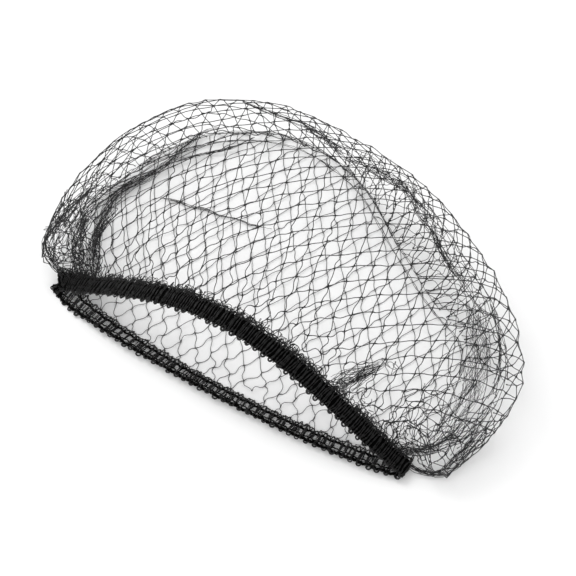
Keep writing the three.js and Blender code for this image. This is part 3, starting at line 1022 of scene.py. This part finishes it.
def surfaceThreads(draw):
    one = (surfaceEnds["count"], 1)
    centre = lowerShare + (1 - lowerShare) * draw.random(surfaceEnds["count"])[:, None]
    t = np.linspace(-0.5, 0.5, surfaceEnds["steps"])
    along = draw.uniform(*surfaceEnds["length"], one) * t
    along = along + draw.uniform(*surfaceEnds["wave"], one) * wavesRound(t, 1, draw.uniform(*anyPhase, one))
    across = draw.uniform(-surfaceEnds["across"], surfaceEnds["across"], one)
    across = across + draw.uniform(-surfaceEnds["lean"], surfaceEnds["lean"], one) * t
    rise = surfaceEnds["rise"] * np.cos(math.pi * t) * draw.uniform(*surfaceEnds["riseSpread"], one)
    width = np.clip(across, *surfaceEnds["widthLimits"])
    paths = bandPoints(centre + along / loopLength, width, surfaceEnds["depth"] + rise)
    beside = bandDirections(centre + 0 * t, widthWay)
    return evenTubes(paths, surfaceEnds["radius"], beside, surfaceEnds["sides"])


# The core: cords side by side inside the ribs, close on the raised arc and open lace on the lower one.
cords = {
    "widths": (-2.7, -1.8, -0.9, 0.0, 0.9, 1.8, 2.7),
    "raisedRadii": (0.62, 0.64, 0.64, 0.64, 0.64, 0.64, 0.62),
    "lowerRadii": (0.72, 0.1, 0.32, 0.05, 0.05, 0.05, 0.5),
    "waves": ((188, 2.0, 0.2), (61, 1.7, 0.25)),   # waves round the loop, phase for each cord, mm
}


def elasticCords():
    lace = laceAt(cordShares)
    paths, radii, references = [], [], []
    for k, width in enumerate(cords["widths"]):
        wave = sum(size * wavesRound(cordShares, waves, k * phase) for waves, phase, size in cords["waves"])
        radii.append(cords["raisedRadii"][k] * (1 - lace) + cords["lowerRadii"][k] * lace)
        paths.append(bandPoints(cordShares, width + wave * lace, 0 * cordShares, radii[-1]))
        references.append(bandDirections(cordShares, depthWay))
    return threadTubes(np.array(paths), np.array(radii), np.array(references), closed=True)


# The heading: open rungs on the lower arc, close uneven loops on the raised arc, and a chain through both.
heading = {
    "steps": 9,
    "pitch": (1.8, 2.0),      # mm between the loops of the raised and of the lower arc
    "inset": 0.2,             # mm from the band's edge to where they start
    "span": 1.9,
    "rise": 2.0,
    "riseLimits": (0.3, 1.7),
    "raisedRise": 0.7,
    "lowerLoose": 0.4,
    "sizeSpread": 0.5,
    "leanSpread": 1.0,
    "depthSpread": 0.6,
    "radius": 0.19,
    "lowerSwell": 0.45,
    "scallops": ((66, 0.35), (41, 0.25)),   # waves round the loop, mm, on the lower arc alone
    "chainPlace": (0.6, 0.9),   # mm past the band's edge, and further out on the lower arc
    "chainRadius": (0.32, 0.24),
    "chainWaves": ((282, 0.15), (53, 0.2), (131, 0.15)),
}
strays = {
    "count": 330,
    "steps": 11,
    "inset": 0.3,
    "span": (1.6, 5.5),
    "rise": (1.2, 3.8),
    "swing": 0.25,
    "depth": (-0.6, 1.1),
    "radius": 0.15,
}


def scallops(share):
    # the edge of the lower arc swells and shrinks
    return laceAt(share) * sum(size * wavesRound(share, waves) for waves, size in heading["scallops"])


def headingLoops(draw):
    lowerCount = int(lowerShare * loopLength / heading["pitch"][1])
    raisedCount = int((1 - lowerShare) * loopLength / heading["pitch"][0])
    lowerCentres = lowerShare * (np.arange(lowerCount) + 0.5) / lowerCount
    raisedCentres = lowerShare + (1 - lowerShare) * (np.arange(raisedCount) + 0.5) / raisedCount
    centre = np.r_[lowerCentres, raisedCentres]
    one = (len(centre), 1)
    lace = laceAt(centre)[:, None]
    loose = 1 - (1 - heading["lowerLoose"]) * lace
    t = np.linspace(0, 1, heading["steps"])
    arch = np.sin(math.pi * t)
    size = np.clip(1 + draw.normal(0, heading["sizeSpread"], one) * loose, *heading["riseLimits"])
    lean = draw.normal(0, heading["leanSpread"], one) * loose
    share = centre[:, None] + (heading["span"] * (t - 0.5) + lean * arch) / loopLength
    rise = heading["rise"] * (heading["raisedRise"] + (1 - heading["raisedRise"]) * lace) * size
    width = band["halfWidth"] - heading["inset"] + (rise + scallops(centre)[:, None]) * arch
    depth = draw.normal(0, heading["depthSpread"], one) * loose * arch
    radii = heading["radius"] * (1 + heading["lowerSwell"] * laceAt(share))
    return threadTubes(bandPoints(share, width, depth), radii, bandDirections(share, depthWay))


def strayLoops(draw):
    # thin ends of the net's own thread, looped round the edge of the band
    count = strays["count"]
    one = (count, 1)
    centre = lowerShare + (1 - lowerShare) * draw.random(count)
    t = np.linspace(0, 1, strays["steps"])
    wide, high = draw.uniform(*strays["span"], one), draw.uniform(*strays["rise"], one)
    swing = strays["swing"] * np.sin(fullTurn * t) * draw.choice([-1, 1], one)
    share = centre[:, None] + wide * (t - 0.5 + swing) / loopLength
    width = band["halfWidth"] - strays["inset"] + high * np.sin(math.pi * t)
    paths = bandPoints(share, width, draw.uniform(*strays["depth"], one) + 0 * t)
    return evenTubes(paths, strays["radius"], bandDirections(share, depthWay))


def headingChain():
    share, lace = cordShares, laceAt(cordShares)
    wave = sum(size * wavesRound(share, waves) for waves, size in heading["chainWaves"])
    width = band["halfWidth"] + heading["chainPlace"][0] + heading["chainPlace"][1] * lace
    path = bandPoints(share, width + scallops(share) + wave, wave[::-1])[None]
    raised, lower = heading["chainRadius"]
    radii = (raised + (lower - raised) * lace)[None]
    return threadTubes(path, radii, bandDirections(share, depthWay)[None], closed=True)


bandDraw = np.random.default_rng(band["seed"])
bandParts = [elasticRibs(bandDraw), picotRings(bandDraw), surfaceThreads(bandDraw)]
elasticBand = meshPiece("elasticBand", bandParts)
elasticCore = meshPiece("elasticCore", [elasticCords()])
headingEdge = meshPiece("headingLoops", [headingLoops(bandDraw), strayLoops(bandDraw), headingChain()])


# Materials: black yarn and thread with a cloudy colour and the twist of the fibres as relief.
yarnLook = {"cloudScale": 300, "cloudDetail": 4, "cloudEnds": (0.35, 0.7), "sheen": 0.02,
            "twistTurn": 0.6, "twistAround": 2, "twistDistortion": 1.5, "bump": 0.5, "bumpHeight": 0.0001}


def blackYarn(name, dark, light, roughness, specular, twist):
    material = bpy.data.materials.new(name)
    material.use_nodes = True
    nodes, links = material.node_tree.nodes, material.node_tree.links
    shader = nodes["Principled BSDF"]
    shader.inputs["Roughness"].default_value = roughness
    shader.inputs["Sheen Weight"].default_value = yarnLook["sheen"]
    shader.inputs["Specular IOR Level"].default_value = specular
    coordinates = nodes.new("ShaderNodeTexCoord")
    cloud = nodes.new("ShaderNodeTexNoise")
    cloud.inputs["Scale"].default_value = yarnLook["cloudScale"]
    cloud.inputs["Detail"].default_value = yarnLook["cloudDetail"]
    links.new(coordinates.outputs["Object"], cloud.inputs["Vector"])
    ramp = nodes.new("ShaderNodeValToRGB")
    for stop, place, colour in zip(ramp.color_ramp.elements, yarnLook["cloudEnds"], (dark, light)):
        stop.position = place
        stop.color = (*colour, 1)
    links.new(cloud.outputs["Fac"], ramp.inputs["Fac"])
    links.new(ramp.outputs["Color"], shader.inputs["Base Color"])
    mapping = nodes.new("ShaderNodeMapping")
    mapping.inputs["Scale"].default_value = (twist, yarnLook["twistAround"], 1)
    mapping.inputs["Rotation"].default_value = (0, 0, yarnLook["twistTurn"])
    links.new(coordinates.outputs["UV"], mapping.inputs["Vector"])
    wave = nodes.new("ShaderNodeTexWave")
    wave.inputs["Scale"].default_value = 1
    wave.inputs["Distortion"].default_value = yarnLook["twistDistortion"]
    links.new(mapping.outputs["Vector"], wave.inputs["Vector"])
    bump = nodes.new("ShaderNodeBump")
    bump.inputs["Strength"].default_value = yarnLook["bump"]
    bump.inputs["Distance"].default_value = yarnLook["bumpHeight"]
    links.new(wave.outputs["Fac"], bump.inputs["Height"])
    links.new(bump.outputs["Normal"], shader.inputs["Normal"])
    return material


yarn = blackYarn(
    "blackElasticYarn", dark=(0.0004, 0.0004, 0.0004), light=(0.003, 0.003, 0.0031),
    roughness=0.34, specular=0.36, twist=1.5)
# The core's darker, matte finish with almost no reflection is painted shade: it makes the gaps between the
# ribs read as dark, deep grooves.
core = blackYarn(
    "blackElasticCoreGrooveShade", dark=(0.0003, 0.0003, 0.0003), light=(0.001, 0.001, 0.001),
    roughness=0.9, specular=0.02, twist=1.5)
thread = blackYarn(
    "blackNetThread", dark=(0.004, 0.004, 0.0045), light=(0.018, 0.018, 0.019),
    roughness=0.5, specular=0.4, twist=2.5)
paleThread = blackYarn(
    "blackNetThreadBelow", dark=(0.02, 0.02, 0.0205), light=(0.07, 0.07, 0.072),
    roughness=0.6, specular=0.4, twist=2.5)

for piece, material, node, slotName in (
    (elasticBand, yarn, "elastic_band", "elastic_yarn"),
    (elasticCore, core, "elastic_band", "elastic_yarn"),
    (headingEdge, yarn, "heading_chain", "elastic_yarn"),
    (netDome, thread, "net_crown", "net_thread"),
    (netPleat, thread, "net_crown", "net_thread"),
    (netGathers, thread, "net_crown", "net_thread"),
    (netFloor, paleThread, "net_crown", "net_thread"),
):
    piece.data.materials.append(material)
    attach(piece, "root")
    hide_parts(node)
print("materials ready")


# Floor, light and camera.
studio = {
    "floorSize": 6,
    "floorColour": (0.9, 0.9, 0.9, 1),
    "floorRoughness": 0.9,
    "airColour": (1, 1, 1, 1),
    "airStrength": 0.92,
}
# place in metres, size of the disk in metres, watts
lamps = {
    "keyLight": ((-0.9, 0.1, 1.3), 0.9, 7.3),
    "fillLight": ((0.5, -1.0, 1.1), 1.4, 5),
}
# the photo's own angle; the target is in mm, and focalPixels is the focal length in pixels of the photo
camera = {
    "azimuth": math.radians(32.7),
    "elevation": math.radians(52.0),
    "distance": 900.0,
    "target": (0.32, -16.08, 20.0),
    "focalPixels": 2033.7,
    "photoPixels": 576,
    "sensorWidth": 36,
    "clip": (0.01, 20),
}


def studioFloor():
    bpy.ops.mesh.primitive_plane_add(size=studio["floorSize"], location=(0, 0, 0))
    floor = bpy.context.object
    floor.name = "studioFloor"
    material = bpy.data.materials.new("paleFloor")
    material.use_nodes = True
    shader = material.node_tree.nodes["Principled BSDF"]
    shader.inputs["Base Color"].default_value = studio["floorColour"]
    shader.inputs["Roughness"].default_value = studio["floorRoughness"]
    shader.inputs["Specular IOR Level"].default_value = 0.0
    floor.data.materials.append(material)


def softLight(name, place, size, power):
    data = bpy.data.lights.new(name, "AREA")
    data.shape = "DISK"
    data.size = size
    data.energy = power
    lamp = bpy.data.objects.new(name, data)
    lamp.location = place
    lamp.rotation_mode = "QUATERNION"
    lamp.rotation_quaternion = (-Vector(place)).to_track_quat("-Z", "Y")
    bpy.context.scene.collection.objects.link(lamp)


def studioAir():
    world = bpy.data.worlds.new("studioAir")
    world.use_nodes = True
    background = world.node_tree.nodes["Background"]
    background.inputs["Color"].default_value = studio["airColour"]
    background.inputs["Strength"].default_value = studio["airStrength"]
    bpy.context.scene.world = world


def photoCamera():
    a, e = camera["azimuth"], camera["elevation"]
    back = Vector((math.sin(a) * math.cos(e), -math.cos(a) * math.cos(e), math.sin(e)))
    data = bpy.data.cameras.new("photoCamera")
    data.sensor_width = camera["sensorWidth"]
    data.lens = camera["sensorWidth"] * camera["focalPixels"] / camera["photoPixels"]
    data.clip_start, data.clip_end = camera["clip"]
    eye = bpy.data.objects.new("photoCamera", data)
    eye.location = Vector(camera["target"]) / 1000 + back * camera["distance"] / 1000
    eye.rotation_mode = "QUATERNION"
    eye.rotation_quaternion = (-back).to_track_quat("-Z", "Y")
    bpy.context.scene.collection.objects.link(eye)
    bpy.context.scene.camera = eye


studioFloor()
for name, (place, size, power) in lamps.items():
    softLight(name, place, size, power)
studioAir()
bpy.context.scene.view_settings.view_transform = "Standard"
photoCamera()
print("stage ready")
